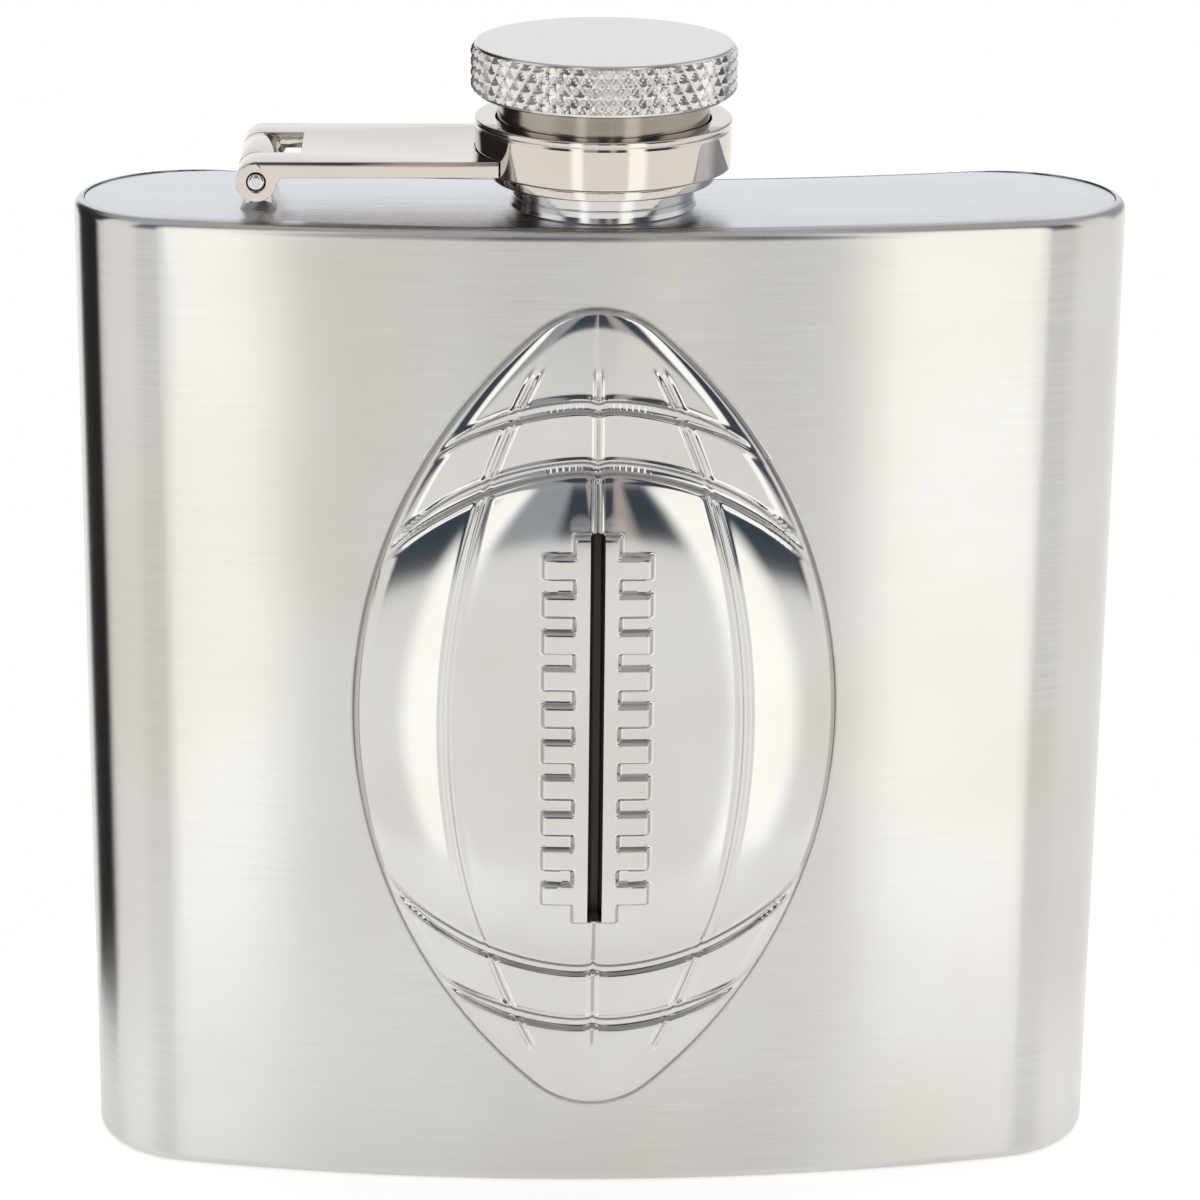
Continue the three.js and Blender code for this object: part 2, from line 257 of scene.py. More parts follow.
# ---------- the body's plan ----------
def plan_columns(front_half, end_steps, back_steps):
    """Points and outward normals round the plan, from the front's left end; also each front point's x."""
    def round_end(side, start):
        angle = np.linspace(start, start + math.pi, end_steps + 2)[1:-1] - math.pi / 2
        direction = np.stack([np.cos(angle), np.sin(angle)], 1)
        return direction * END + [side * END_X, END_Y], direction

    sweep = math.asin(END_X / BEND)
    outer, inner = BEND + END, BEND - END
    x = np.concatenate([-front_half[:0:-1], front_half])
    angle = np.arcsin(x / outer)
    front = np.stack([outer * np.sin(angle), BEND - outer * np.cos(angle)], 1)
    front_normals = np.stack([np.sin(angle), -np.cos(angle)], 1)
    angle = np.linspace(sweep, -sweep, back_steps + 1)
    back = np.stack([inner * np.sin(angle), BEND - inner * np.cos(angle)], 1)
    back_normals = np.stack([-np.sin(angle), np.cos(angle)], 1)
    right, right_normals = round_end(1, sweep)
    left, left_normals = round_end(-1, math.pi - sweep)
    points = np.vstack([front, right, back, left])
    return points, np.vstack([front_normals, right_normals, back_normals, left_normals]), x


# ---------- the pressed football ----------
def ball_arcs():
    """The long side arc's radius and centre, and the tip arc's centre."""
    tip_z = BALL_HALF_HEIGHT - BALL_TIP
    side = (tip_z ** 2 / (BALL_HALF_WIDTH - BALL_TIP) + BALL_HALF_WIDTH + BALL_TIP) / 2
    return side, side - BALL_HALF_WIDTH, tip_z


def inside_ball(x, z):
    """Distance inside the football's outline; negative outside it."""
    side, centre, tip_z = ball_arcs()
    to_side = side - np.hypot(x + centre, z)
    to_tip = BALL_TIP - np.hypot(x, z - tip_z)
    return np.where(z * centre > tip_z * (x + centre), to_tip, to_side)


def ball_half_width(z):
    """Half the football's width at a height from its middle."""
    side, centre, tip_z = ball_arcs()
    join = side * tip_z / (side - BALL_TIP)
    long_arc = np.sqrt(np.maximum(side ** 2 - z ** 2, 0)) - centre
    tip_arc = np.sqrt(np.maximum(BALL_TIP ** 2 - (z - tip_z) ** 2, 0))
    return np.where(z < join, long_arc, tip_arc)


def from_stripe(x, z, height):
    """Distance from a stripe's middle line, positive towards the ball's tip, with its cusp at the middle."""
    arc = np.hypot(x, z - height + STRIPE_BEND) - STRIPE_BEND
    return arc + CUSP_HEIGHT * np.exp(-x / CUSP_WIDTH)


def stripes(x, z, depth):
    """The stripes' channels and the lips beside them, both narrower close to the outline."""
    total = 0
    for height in STRIPES:
        away = np.abs(from_stripe(x, z, height))
        taper = smooth(depth / STRIPE_TAPER)
        channel = -STRIPE_DEPTH * np.exp(-((away / (STRIPE_CHANNEL * (0.35 + 0.65 * taper))) ** 4))
        lip = LIP_HEIGHT * bell(away - STRIPE_LIP * (0.45 + 0.55 * taper), LIP_WIDTH)
        total = total + (channel + lip) * smooth((depth - EDGE_CLEAR) / 1.2)
    return total


def ribs(x, z):
    """Fine cross ribs on the floor of the upper stripes, near the middle."""
    on_floor = sum(bell(from_stripe(x, z, height), RIB_REACH) for height in STRIPES)
    wave = RIB_HEIGHT * np.sin(2 * math.pi * x / RIB_PITCH)
    return wave * on_floor * smooth(x / RIB_START) * smooth(RIB_END - x) * (z > 0)


def panels(x, z, share):
    """The segments between the stripes; share is the way from the middle line to the outline, 0 to 1."""
    across = 1 - SIDE_FALL * share ** 2 - OUTLINE_FALL * share ** 8
    inner = -from_stripe(x, z, STRIPES[0]) - STRIPE_LIP
    between = np.minimum(-inner - 2 * STRIPE_LIP, -from_stripe(x, z, STRIPES[1]) - STRIPE_LIP)
    main = PANEL_PUFF * (1 - np.exp(-np.maximum(inner, 0) / PANEL_LENGTH))
    step = BAND_STEP * np.exp(-np.maximum(-inner, 0) / BAND_LENGTH)
    fall = TIP_SLOPE * np.maximum(from_stripe(x, z, STRIPES[1]) - STRIPE_LIP, 0)
    band = BAND_PUFF * (1 - np.exp(-np.maximum(between, 0) / BAND_EDGE))
    return (main + step + band) * across - fall


def seam_line(z):
    """How far a long seam is from the middle line, at a height."""
    return SEAM_MIDDLE - SEAM_BEND + np.sqrt(SEAM_BEND ** 2 - z ** 2)


def pressed_line(away, depth, width, lip, lip_place, lip_width):
    """A rounded groove with a faint lip on each side; away is the distance from its middle."""
    return lip * bell(away - lip_place, lip_width) - depth * bell(away, width)


def seams(x, z, depth):
    """The long seams and the middle one, with a break where a stripe crosses them."""
    away = np.abs(x - seam_line(z))
    clear = 1
    for height in STRIPES:
        clear = clear * (1 - bell(from_stripe(x, z, height), SEAM_GAP))
    end = smooth((SEAM_END - z) / 2)
    side = pressed_line(away, depth=0.16, width=0.22, lip=0.1, lip_place=0.45, lip_width=0.2) * end
    middle = pressed_line(x, depth=0.14, width=0.13, lip=0.09, lip_place=0.3, lip_width=0.14) * end
    return side * clear * smooth((depth - EDGE_CLEAR) / 1.5), middle * clear


def laces(x, z):
    """The two toothed laces' height, and how open the slot between them is, 0 to 1."""
    def within(value, low, high):
        return smooth(np.minimum(value - low, high - value) / LACE_ROUND + 0.5)

    first = (LACE_LOW + LACE_HIGH - LACE_PITCH * (LACE_TEETH - 1) - LACE_TOOTH) / 2
    in_pitch = (z - first) % LACE_PITCH
    last = first + LACE_PITCH * (LACE_TEETH - 1) + LACE_TOOTH
    in_rows = (z > first - LACE_ROUND) & (z < last + LACE_ROUND)
    near = np.where(in_pitch > (LACE_PITCH + LACE_TOOTH) / 2, in_pitch - LACE_PITCH, in_pitch)
    tooth = within(near, 0, LACE_TOOTH) * within(x, SLOT_HALF, LACE_REACH) * in_rows
    spine = within(x, -LACE_SPINE, LACE_SPINE) * within(z, LACE_LOW, LACE_HIGH)
    comb = LACE_RISE * np.maximum(tooth, spine)
    ends = np.minimum(SLOT_HIGH - z, z - SLOT_LOW)
    open_slot = smooth((SLOT_HALF - x) / SLOT_EDGE + 0.5) * smooth(ends / SLOT_END)
    return comb, open_slot


def relief(x, z):
    """How far the pressed football stands out of the front wall; x and z are counted from its middle."""
    side_x, from_middle = np.abs(x), np.abs(z)
    depth = inside_ball(side_x, from_middle)
    share = np.clip(side_x / np.maximum(ball_half_width(from_middle), 0.01), 0, 1)
    turn = 1 - np.clip(depth / FLANK_WIDTH, 0, 1)
    flank = np.sqrt(1 - turn ** 2) * smooth(depth / FLANK_FOOT)
    inward = np.clip(depth / BALL_HALF_WIDTH, 0, 1)
    dome = BALL_DOME * (1 - (1 - inward) ** 2)
    side_seam, middle_seam = seams(side_x, from_middle, depth)
    comb, open_slot = laces(side_x, z)
    laced = (z > SLOT_LOW) & (z < SLOT_HIGH)
    raised = FLANK_HEIGHT + panels(side_x, from_middle, share)
    height = flank * raised + dome + stripes(side_x, from_middle, depth) + ribs(side_x, z)
    height = height + side_seam + np.where(laced, 0, middle_seam) + comb - SLOT_DEPTH * open_slot
    return np.where(depth > 0, height, 0)


def polished(x, z):
    """Where the wall is polished: the football, but for a missed spot over each lace."""
    side_x, from_middle = np.abs(x), np.abs(z)
    missed = smooth((LOBE_RADIUS - np.hypot(side_x - LOBE_X, z - LOBE_Z)) / LOBE_EDGE)
    return smooth(inside_ball(side_x, from_middle) / POLISH_EDGE) * (1 - missed)


# Painted shade: the sleeve's colour is darkened in the football's slot and along its corners and creases,
# where shade falls.
SHADE_MOST = 0.6  # in a corner, where the slot has 1
SHADE_WIDTH = 0.16


def painted_shade(x, z):
    """Painted shade: how dark the metal's colour is made, all over the slot and a little in each corner."""
    side_x, from_middle = np.abs(x), np.abs(z)
    depth = inside_ball(side_x, from_middle)
    comb, open_slot = laces(side_x, z)
    outline = 0.5 * bell(depth - 0.1, SHADE_WIDTH)
    lace_edges = 0.5 * bell(comb / LACE_RISE - 0.4, 0.2)
    corners = outline + lace_edges
    for height in STRIPES:
        from_channel = np.abs(from_stripe(side_x, from_middle, height)) - STRIPE_CHANNEL
        corners = corners + 0.35 * bell(from_channel, SHADE_WIDTH) * smooth(depth / 2)
    return np.where(depth > -0.2, np.maximum(open_slot, np.minimum(corners, SHADE_MOST)), 0)


# The wall's grid, as runs of (from, to, step) from the ball's middle; finest where the football has detail
LACE_FIELD = 5.3  # half width of the grid's finest part
COLUMN_RUNS = (
    (0, LACE_FIELD, 0.13), (LACE_FIELD, 12.1, 0.32), (12.1, 14.3, 0.11), (14.3, 20.4, 0.32),
    (20.4, 22.3, 0.14), (22.3, FRONT_REACH, 0.9),
)
ROW_RUNS = ((0, 20.8, 0.16), (20.8, 31.6, 0.13), (31.6, 38.6, 0.2))
PLAIN_STEP = 0.9  # of the rows past the ball
RIM_STEP = 0.12  # of the last row before a rim
NARROWEST = 3.0  # half width that the grid keeps at the ball's tips
STRAIGHTEN = 5  # length past the tips over which the columns straighten
SAG_REACH = 15.0  # distance from the middle line up to which the rows bend like the stripes
FOLLOW, UNFOLLOW = (10, 22), (31.5, 42.5)  # heights over which the rows start and stop bending
SHIFT_FADE = 12  # length past the ball's sides over which BALL_X stops moving the columns


def fitted(x, z):
    """Moves the wall's grid so that its lines follow the ball's outline, seams and stripes.

    What comes back is counted from the ball's middle, and the wall's edges stay where they are.
    """
    side, height = np.abs(x), np.abs(z)
    moved_z = height
    for _ in range(4):
        width = np.maximum(ball_half_width(moved_z), NARROWEST)
        seam = np.clip(seam_line(moved_z), 0.3 * width, 0.8 * width)
        edge = np.minimum(LACE_FIELD, 0.75 * seam)
        inner = side / LACE_FIELD * edge
        middle = edge + (side - LACE_FIELD) / (SEAM_MIDDLE - LACE_FIELD) * (seam - edge)
        outer = seam + (side - SEAM_MIDDLE) / (BALL_HALF_WIDTH - SEAM_MIDDLE) * (width - seam)
        beyond = width + (side - BALL_HALF_WIDTH) / (FRONT_REACH - BALL_HALF_WIDTH) * (FRONT_REACH - width)
        fitted_x = np.where(side < LACE_FIELD, inner, np.where(side < SEAM_MIDDLE, middle, outer))
        fitted_x = np.where(side > BALL_HALF_WIDTH, beyond, fitted_x)
        keep = 1 - smooth((height - BALL_HALF_HEIGHT) / STRAIGHTEN)
        moved_x = side + (fitted_x - side) * keep
        sag = STRIPE_BEND - np.sqrt(STRIPE_BEND ** 2 - np.minimum(moved_x, SAG_REACH) ** 2)
        follow = eased(height, *FOLLOW) * (1 - eased(height, *UNFOLLOW))
        moved_z = height - sag * follow
    shift = BALL_X * (1 - smooth((side - BALL_HALF_WIDTH) / SHIFT_FADE))
    return np.sign(x) * moved_x + shift - BALL_X, np.sign(z) * moved_z


def sleeve_rows():
    """The sleeve's section, a ring: the wall's heights, then (inset, height) for each rim and the inside."""
    up = spaced(*ROW_RUNS)
    bottom, top = RIM - BALL_Z, TOP - RIM - BALL_Z
    low_wall = spaced((bottom, bottom + RIM_STEP, RIM_STEP), (bottom + RIM_STEP, -up[-1], PLAIN_STEP))[:-1]
    high_wall = spaced((up[-1], top - RIM_STEP, PLAIN_STEP), (top - RIM_STEP, top, RIM_STEP))[1:]
    wall = np.concatenate([low_wall, -up[:0:-1], up, high_wall]) + BALL_Z
    quarter = np.linspace(0, math.pi / 2, 7)[1:-1]
    upper_rim = [(RIM - RIM * math.cos(a), TOP - RIM + RIM * math.sin(a)) for a in quarter]
    inside = [(RIM, TOP), (RIM, TOP - LIP), (WALL, TOP - LIP), (WALL, LIP), (RIM, LIP), (RIM, 0)]
    lower_rim = [(RIM - RIM * math.sin(a), RIM - RIM * math.cos(a)) for a in quarter]
    return wall, upper_rim, inside, lower_rim


INSIDE_SHADE = 0.25  # painted shade on the rim's inside, so that the joint round an end plate shows dark


def body_sleeve(material):
    """The bent oval tube with the football pressed into its front, and two layers for its material."""
    points, normals, x = plan_columns(spaced(*COLUMN_RUNS), 24, 44)
    wall, upper_rim, inside, lower_rim = sleeve_rows()
    rows = [(0, z) for z in wall] + upper_rim + inside + lower_rim
    inset, height = np.array(rows).T
    grid_x, grid_z = fitted(*np.meshgrid(x, wall - BALL_Z))
    flat = points[None] - normals[None] * inset[:, None, None]
    vertices = np.concatenate([flat, np.broadcast_to(height[:, None, None], flat.shape[:2] + (1,))], -1)
    outer = BEND + END
    reach = outer + relief(grid_x, grid_z)
    lean = (grid_x + BALL_X) / outer
    front = [reach * lean, BEND - reach * np.sqrt(1 - lean ** 2), grid_z + BALL_Z]
    vertices[:len(wall), :len(x)] = np.stack(front, -1)
    faces = ring_faces(len(rows), len(points), True)
    sleeve = add_piece("brushed_sleeve", vertices.reshape(-1, 3), faces, "flask", "body_sleeve",
                       material, 50)
    polish, shade_layer = np.zeros(flat.shape[:2]), np.zeros(flat.shape[:2])
    polish[:len(wall), :len(x)] = polished(grid_x, grid_z)
    # painted shade in the slot and along the football's corners
    shade_layer[:len(wall), :len(x)] = painted_shade(grid_x, grid_z)
    inside_start = len(wall) + len(upper_rim)
    # painted shade inside the rim, so that the joint line shows dark
    shade_layer[inside_start:inside_start + len(inside)] = INSIDE_SHADE
    for name, values in (("polish", polish), ("shade_layer", shade_layer)):
        layer = sleeve.data.attributes.new(name, "FLOAT", "POINT")
        layer.data.foreach_set("value", values.ravel().astype(np.float32))
    return sleeve


# ---------- the end plates ----------
PLATE_RINGS = 16
SMALLEST_HOLE = 0.5  # radius of the first ring in a plate without a hole


def end_plate(name, node, inner_face, outer, hole, crown, material):
    """A plate with a rounded edge, in rings from its hole (or its middle) out to the rim.

    inner_face and outer are the heights of its two faces; outer is the one that shows.
    """
    points, normals, _ = plan_columns(spaced((0, FRONT_REACH, 1.4)), 22, 40)
    edge = points - normals * (RIM + JOINT)
    length = np.linalg.norm(edge, axis=1, keepdims=True)
    inner = edge / length * max(hole, SMALLEST_HOLE)
    share = np.linspace(0, 1, PLATE_RINGS)[:, None, None] ** 0.8
    rings = inner[None] * (1 - share) + edge[None] * share
    near_edge = np.linalg.norm(rings - edge[None], axis=2)
    rise = crown * (1 - share[:, :, 0] ** 2) - PLATE_EDGE * bell(near_edge, PLATE_EDGE)
    facing = outer + math.copysign(1, outer - inner_face) * rise
    upper = np.dstack([rings, facing])
    lower = np.dstack([rings[::-1], np.full(facing.shape, inner_face)])
    vertices = np.concatenate([upper, lower])
    rows = len(vertices)
    faces = ring_faces(rows, len(points), bool(hole))
    vertices = vertices.reshape(-1, 3)
    if not hole:
        count = len(points)
        last = (rows - 1) * count
        vertices = np.vstack([vertices, [0, 0, outer], [0, 0, inner_face]])
        faces += [((j + 1) % count, j, rows * count) for j in range(count)]
        faces += [(last + j, last + (j + 1) % count, rows * count + 1) for j in range(count)]
    return add_piece(name, vertices, faces, "flask", node, material, 40)


# ---------- spout, cap and ring ----------
THREAD_PITCH = 1.8
THREAD_FADE = 0.9  # height over which a thread starts and ends
THREAD_SLOPE, THREAD_GAP = 1.9, 0.35  # how steep the ridge is, and how wide the root between its turns


def threaded(root, crest, low, high, inward=False):
    """A radius function that winds a helical ridge from root to crest between two heights."""
    def radius(angle, radii, heights):
        turn = (heights - low) / THREAD_PITCH - angle / (2 * math.pi) * (-1 if inward else 1)
        ridge = 1 - 2 * np.abs(turn % 1 - 0.5)
        ridge = np.clip(ridge * THREAD_SLOPE - THREAD_GAP, 0, 1)
        fade = smooth((heights - low) / THREAD_FADE) * smooth((high - heights) / THREAD_FADE)
        on_wall = np.abs(radii - root) < 0.01
        return np.where(on_wall, radii + (crest - root) * ridge * fade, radii)
    return radius


THREAD_ROW = 0.12  # spacing of the rows in a threaded wall


def neck_spout(material):
    """The threaded spout on its grooved collar, with a spigot through the top plate."""
    bore, spigot, collar, root, crest = 6.2, 7.05, SPOUT_HIGH[0], 7.15, 7.7
    collar_top = TOP + 3.2
    top = SPOUT_HIGH[2]
    thread_low, thread_high = collar_top + 0.3, top - 0.9
    wall = [(root, z) for z in spaced((collar_top + 0.25, top - 0.35, THREAD_ROW))]
    low = SPOUT_LOW[2]
    groove = TOP + 1.15
    corners = [(bore, low, 0.1), (spigot, low, 0.1), (spigot, TOP, 0), (collar + 0.3, TOP, 0),
               (collar, TOP + 0.65, 0.2), (collar, groove, 0), (collar - 0.12, groove + 0.1, 0),
               (collar, groove + 0.2, 0), (collar, collar_top, 0.35), (root, collar_top, 0.12)]
    profile = rounded(corners + [(root, top, 0.25), (bore, top, 0.25)])
    is_top_edge = [abs(across - root) < 0.4 and height > top - 0.4 for across, height in profile]
    split = is_top_edge.index(True)
    profile = profile[:split] + wall + profile[split:]
    points, faces = turned(profile, 160, threaded(root, crest, thread_low, thread_high))
    return add_piece("threaded_spout", points, faces, "flask", "neck_spout", material, 30)


def threaded_insert(material, shank_material):
    """The cap's threaded tube, with a flange below the ring; its shank in the ring has a darker steel,
    painted shade for the gap under the head.
    """
    low, high = INSERT_LOW[2], INSERT_HIGH[2]
    flange, shank, root, crest = INSERT_HIGH[0], 9.45, 8.8, 8.45
    flange_top = TOP + 3.5
    corners = [(root, low, 0.15), (flange, low, 0.22), (flange, flange_top, 0.22), (shank, flange_top, 0.1),
               (shank, high, 0.15), (root, high, 0.15)]
    wall = [(root, z) for z in spaced((high - 0.3, low + 0.3, THREAD_ROW))]
    points, faces = turned(rounded(corners) + wall, 160, threaded(root, crest, low + 0.6, high - 1.2, True))
    insert = add_piece("cap_insert", points, faces, "cap", "threaded_insert", material, 30)
    # the shank's darker steel is painted shade in the gap between the head and the ring
    insert.data.materials.append(shank_material)
    for face in insert.data.polygons:
        if face.center.xy.length > (shank - 0.2) * MM and face.center.z > (flange_top + 0.3) * MM:
            face.material_index = 1
    return insert


def sealing_washer(material):
    """A soft disc with a shallow dish below and a rounded lower edge."""
    low, high, reach = WASHER_LOW[2], WASHER_HIGH[2], WASHER_HIGH[0]
    edge, bevel = 0.25, 0.2
    profile = [(0, low + 0.1), (reach * 0.4, low + 0.1), (reach * 0.72, low + 0.04)]
    for a in np.linspace(0, math.pi / 2, 6):
        profile.append((reach - edge + edge * math.sin(a), low + edge - edge * math.cos(a)))
    profile += [(reach, high - bevel), (reach - bevel, high), (0, high)]
    points, faces = turned(profile, 96)
    return add_piece("soft_washer", points, faces, "cap", "sealing_washer", material)


def collar_ring(material):
    """The ring that holds the cap, with a fine groove below its lip."""
    low, high, outer, inner = RING_LOW[2], RING_HIGH[2], RING_HIGH[0], 9.6
    lip, groove = 0.62, 0.14
    corners = [
        (inner, low, 0.2),
        (outer - 0.05, low, 0.2),
        (outer - 0.05, high - lip - 0.25, 0.12),
        (outer - groove, high - lip, 0.1),
        (outer, high - lip + 0.14, 0.1),
        (outer, high, 0.22),
        (inner, high, 0.2),
    ]
    points, faces = turned(rounded(corners), 160)
    return add_piece("polished_ring", points, faces, "arm", "collar_ring", material, 30)


KNURL_COUNT = 56
KNURL_DEPTH = 0.45
KNURL_HEIGHT = 1.9  # of one diamond
KNURL_ROW = 0.125  # spacing of the rows in the knurl


def cap_head(material):
    """The disc with its satin top, a diamond knurl round its side and a lip below."""
    low, high, radius = HEAD_LOW[2], HEAD_HIGH[2], HEAD_HIGH[0] - 0.03
    band_low, band_high = low + 0.5, high - 0.32
    seat, seat_top = 9.6, low + 1.6
    edge = 0.26  # rounding of the disc's upper edge

    def knurl(angle, radii, heights):
        rising = angle * KNURL_COUNT / (2 * math.pi) + heights / KNURL_HEIGHT
        falling = angle * KNURL_COUNT / (2 * math.pi) - heights / KNURL_HEIGHT
        point = np.minimum(1 - np.abs(rising % 1 * 2 - 1), 1 - np.abs(falling % 1 * 2 - 1))
        inside = (heights > band_low) & (heights < band_high) & (radii > radius - 0.01)
        cut = KNURL_DEPTH * (1 - np.clip(point * 1.2, 0, 1))
        return np.where(inside, radii - cut, radii)

    profile = [(0, seat_top), (seat - 0.4, seat_top), (seat, seat_top - 0.1)]
    profile += [(seat, low + 0.1), (seat + 0.1, low)]
    profile += [(radius - 1.3, low), (radius - 0.8, low + 0.08), (radius - 0.5, low + 0.24)]
    profile += [(radius - 0.42, band_low - 0.06)]
    profile += [(radius, z) for z in spaced((band_low + 0.001, band_high - 0.001, KNURL_ROW))]
    profile += [(radius - 0.34, band_high + 0.05)]
    for a in np.linspace(0, math.pi / 2, 7):
        profile.append((radius - 0.3 - edge * (1 - math.cos(a)), high - edge + edge * math.sin(a)))
    profile += [(radius * share, high) for share in (0.9, 0.7, 0.4)]
    profile += [(0, high)]
    points, faces = turned(profile, KNURL_COUNT * 8, knurl)
    return add_piece("knurled_head", points, faces, "cap", "cap_head", material, 24)


# ---------- the hinge ----------
def prism(outline, low, high):
    """A closed mesh: an outline in X and Z, extended along Y, in millimetres."""
    work = bmesh.new()
    near = [work.verts.new((x, low, z)) for x, z in outline]
    far = [work.verts.new((x, high, z)) for x, z in outline]
    work.faces.new(near)
    work.faces.new(far[::-1])
    for i in range(len(outline)):
        k = (i + 1) % len(outline)
        work.faces.new((near[k], near[i], far[i], far[k]))
    bmesh.ops.recalc_face_normals(work, faces=work.faces)
    mesh = bpy.data.meshes.new("prism")
    work.to_mesh(mesh)
    work.free()
    return bpy.data.objects.new("prism", mesh)


def column(radius, low, high):
    """A closed upright cylinder round the spout's axis, in millimetres."""
    points, faces = turned([(0, low), (radius, low), (radius, high), (0, high)], 96)
    mesh = bpy.data.meshes.new("column")
    mesh.from_pydata(points.tolist(), [], faces)
    face_out(mesh)
    return bpy.data.objects.new("column", mesh)


def shaped(base, cuts, bevel):
    """The mesh of a solid with others cut away and its edges rounded, in metres."""
    for solid in [base] + cuts:
        bpy.context.collection.objects.link(solid)
    for cut in cuts:
        modifier = base.modifiers.new("shape", "BOOLEAN")
        modifier.operation = "DIFFERENCE"
        modifier.solver = "EXACT"
        modifier.object = cut
    rounding = base.modifiers.new("rounding", "BEVEL")
    rounding.width = bevel
    rounding.segments = 3
    rounding.limit_method = "ANGLE"
    rounding.angle_limit = math.radians(40)
    graph = bpy.context.evaluated_depsgraph_get()
    mesh = bpy.data.meshes.new_from_object(base.evaluated_get(graph))
    mesh.transform(Matrix.Scale(MM, 4))
    for solid in [base] + cuts:
        bpy.data.objects.remove(solid)
    return mesh


def circle(x, z, radius, start=0, end=2 * math.pi, steps=48, closed=True):
    """Points on a circle or, where it isn't closed, on an arc from start to end."""
    angles = np.linspace(start, end, steps, endpoint=not closed)
    return [(x + radius * math.cos(a), z + radius * math.sin(a)) for a in angles]


def hinge_arm(material):
    """A flat arm from the collar to a rolled end with two knuckles, notched round the post."""
    top, thickness = ARM_HIGH[2], 1.45
    front, back = ARM_LOW[1], ARM_HIGH[1]
    outline = [(0, top - thickness), (0, top)]
    outline += circle(PIN_X, PIN_Z, KNUCKLE, math.pi / 2, math.pi * 1.93, 44, closed=False)
    outline += [(PIN_X + KNUCKLE + 0.35, top - thickness)]
    base = prism(outline, front, back)
    middle, notch_half = (front + back) / 2, 4.1
    notch_left, notch_right = PIN_X - 3, PIN_X + 3.8
    notch_low, notch_high = PIN_Z - 4, PIN_Z + 4
    corners = [(notch_left, notch_low), (notch_right, notch_low)]
    corners += [(notch_right, notch_high), (notch_left, notch_high)]
    notch = prism(corners, middle - notch_half, middle + notch_half)
    hole = prism(circle(PIN_X, PIN_Z, PIN_HOLE), front - 1, back + 1)
    seat = column(RING_HIGH[0] + 0.05, TOP, TOP + 12)
    mesh = shaped(base, [notch, hole, seat], bevel=0.16)
    return finish_piece("polished_arm", mesh, "arm", "hinge_arm", material, 30)


def hinge_post(material):
    """The middle knuckle on a web that flares into a foot on the top plate."""
    low, front, back = POST_LOW[2], POST_LOW[1], POST_HIGH[1]
    neck, foot = 1.15, 1.75  # half widths of the web and its foot
    neck_z, ankle_z, foot_z = PIN_Z - 1.9, low + 0.8, low - 0.05
    outline = circle(PIN_X, PIN_Z, KNUCKLE, math.radians(-50), math.radians(230), 40, closed=False)
    outline += [(PIN_X - neck, neck_z), (PIN_X - neck - 0.1, ankle_z), (PIN_X - foot, foot_z)]
    outline += [(PIN_X + foot, foot_z), (PIN_X + neck + 0.1, ankle_z), (PIN_X + neck, neck_z)]
    hole = prism(circle(PIN_X, PIN_Z, PIN_HOLE), front - 1, back + 1)
    mesh = shaped(prism(outline, front, back), [hole], bevel=0.14)
    return finish_piece("polished_post", mesh, "flask", "hinge_post", material, 30)


def hinge_pin(material):
    """The pin, with its ends peened a little."""
    front, back, radius = PIN_LOW[1], PIN_HIGH[1], 0.72
    profile = [(0, front + 0.06), (radius * 0.5, front), (radius * 0.8, front + 0.03), (radius, front + 0.16)]
    profile += [(radius, y) for y in np.linspace(front + 1, back - 1, 6)]
    profile += [(radius, back - 0.16), (radius * 0.8, back - 0.03), (radius * 0.5, back), (0, back - 0.06)]
    points, faces = turned(profile, 40)
    laid = np.stack([points[:, 0] + PIN_X, points[:, 2], points[:, 1] + PIN_Z], 1)
    return add_piece("peened_pin", laid, faces, "arm", "hinge_pin", material)


# ---------- materials ----------
class Nodes:
    """A short way to write a material's nodes."""

    def __init__(self, tree):
        self.tree = tree

    def add(self, kind, **values):
        node = self.tree.nodes.new(kind)
        for key, value in values.items():
            setattr(node, key, value)
        return node

    def link(self, source, target):
        self.tree.links.new(source, target)

    def put(self, value, socket):
        """Links a socket, or sets a plain value."""
        if isinstance(value, bpy.types.NodeSocket):
            self.link(value, socket)
        else:
            socket.default_value = value

    def math(self, operation, a, b=0.0, c=None):
        node = self.add("ShaderNodeMath", operation=operation)
        self.put(a, node.inputs[0])
        self.put(b, node.inputs[1])
        if c is not None:
            self.put(c, node.inputs[2])
        return node.outputs[0]

    def noise(self, vector, scale, detail=3.0, roughness=0.55):
        node = self.add("ShaderNodeTexNoise")
        self.link(vector, node.inputs["Vector"])
        node.inputs["Scale"].default_value = scale
        node.inputs["Detail"].default_value = detail
        node.inputs["Roughness"].default_value = roughness
        return node.outputs["Fac"]

    def spread(self, value, low, high, start=0.35, end=0.65):
        """Low where the value is up to start, high from end, and a smooth change between."""
        node = self.add("ShaderNodeMapRange", interpolation_type="SMOOTHSTEP")
        self.link(value, node.inputs["Value"])
        node.inputs["From Min"].default_value = start
        node.inputs["From Max"].default_value = end
        node.inputs["To Min"].default_value = low
        node.inputs["To Max"].default_value = high
        return node.outputs["Result"]

    def mix(self, factor, a, b):
        node = self.add("ShaderNodeMix", data_type="RGBA")
        self.put(factor, node.inputs["Factor"])
        self.put(a, node.inputs["A"])
        self.put(b, node.inputs["B"])
        return node.outputs["Result"]

    def position(self):
        return self.add("ShaderNodeTexCoord").outputs["Object"]

    def stretch(self, vector, scale):
        node = self.add("ShaderNodeMapping")
        self.link(vector, node.inputs["Vector"])
        node.inputs["Scale"].default_value = scale
        return node.outputs["Vector"]

    def bump(self, height, strength, distance):
        node = self.add("ShaderNodeBump")
        self.link(height, node.inputs["Height"])
        node.inputs["Strength"].default_value = strength
        node.inputs["Distance"].default_value = distance
        return node.outputs["Normal"]


def rgba(red, green, blue):
    return (red, green, blue, 1.0)


QUARTER_TURN = 0.25  # of the anisotropy


